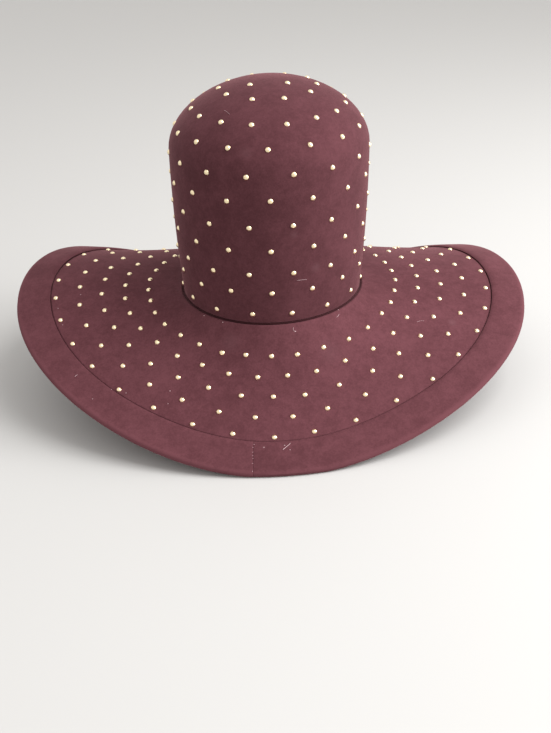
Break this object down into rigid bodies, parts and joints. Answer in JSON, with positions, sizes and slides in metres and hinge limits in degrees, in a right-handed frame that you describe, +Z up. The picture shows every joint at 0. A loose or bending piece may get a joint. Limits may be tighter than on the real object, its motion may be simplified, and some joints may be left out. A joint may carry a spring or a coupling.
{
  "type": "wide-brim felt hat",
  "caption": "Tall round-topped felt hat with a very wide saddle-shaped brim, a folded felt edge band and rows of small domed metal studs all over crown and brim.",
  "frame": {"origin": "middle of the hat's underside at the level of the table that it rests on", "axes": "+Z up through the crown, +X to the hat's right-hand side seen from its back, -Y out of its back, where the edge band's ends meet"},
  "size_m": [0.4948, 0.4158, 0.2966],
  "materials": {
    "crown_felt": "matt burgundy felt with a short soft nap",
    "brim_felt": "matt burgundy felt with a short soft nap",
    "band_felt": "matt burgundy felt strip, a little lighter than the brim",
    "stud_metal": "bright gold-coloured domed nailheads"
  },
  "bodies": {
    "root": {"crown": "crown_felt", "brim": "brim_felt", "edge_band": "band_felt"}
  },
  "joints": []
}
